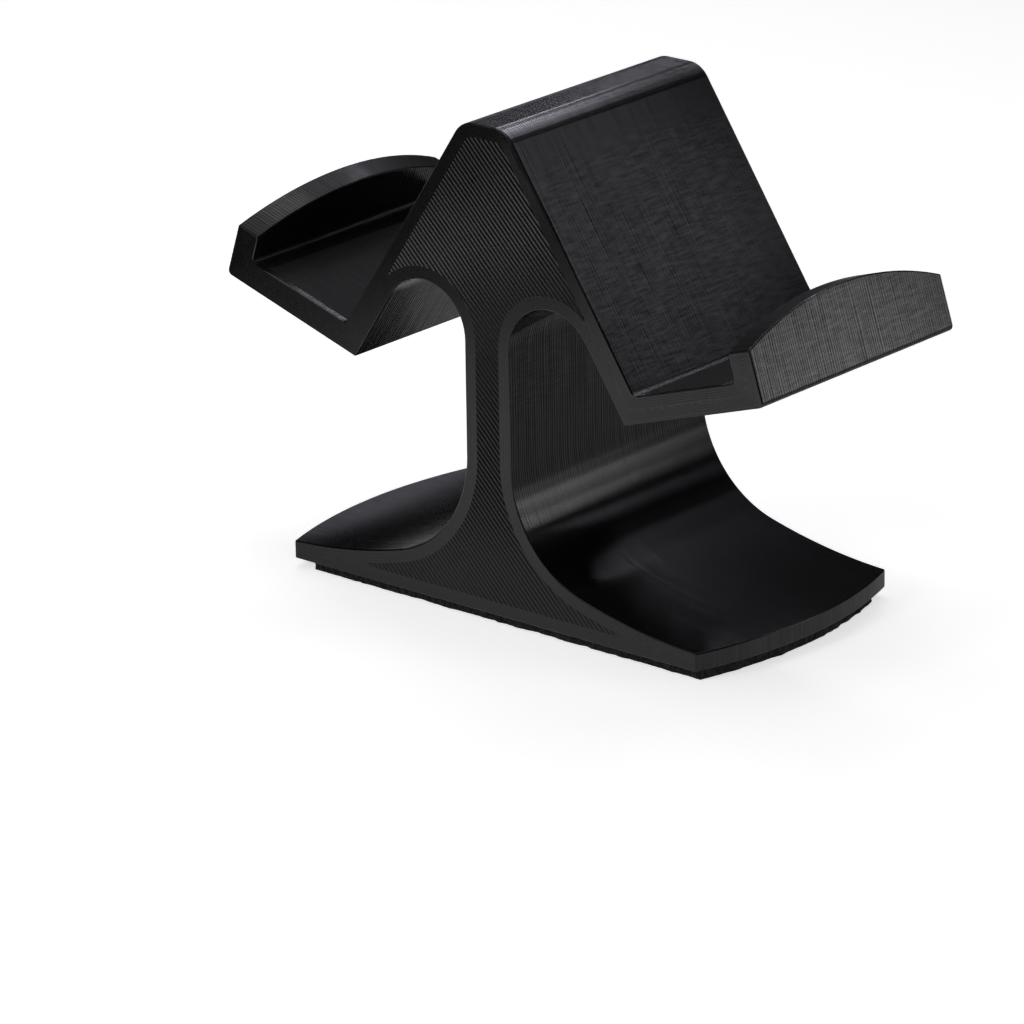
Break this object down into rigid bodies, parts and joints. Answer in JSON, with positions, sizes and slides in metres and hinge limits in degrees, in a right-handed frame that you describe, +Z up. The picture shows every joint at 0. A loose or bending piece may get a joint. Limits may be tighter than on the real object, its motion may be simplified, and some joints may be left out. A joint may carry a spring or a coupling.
{
  "type": "dual controller stand",
  "caption": "Free-standing desk stand that holds a game controller in a sloping tray on either side of a central column, over a broad swept foot with a thin grip pad.",
  "frame": {"origin": "centre of the bounding box in plan, at the pad's underside, on the surface the stand rests on", "axes": "+X across the trays, towards the right one; +Y towards the back, along the printed depth; +Z up"},
  "size_m": [0.1246, 0.055, 0.0933],
  "materials": {
    "stand_plastic": "black layered print, satin along the layers and dull on the front and back faces",
    "grip_pad": "dull black cellular rubber sheet, self-adhesive, with a slightly rough cut edge"
  },
  "bodies": {
    "root": {"stand_body": "stand_plastic", "base_grip_pad": "grip_pad"}
  },
  "joints": []
}
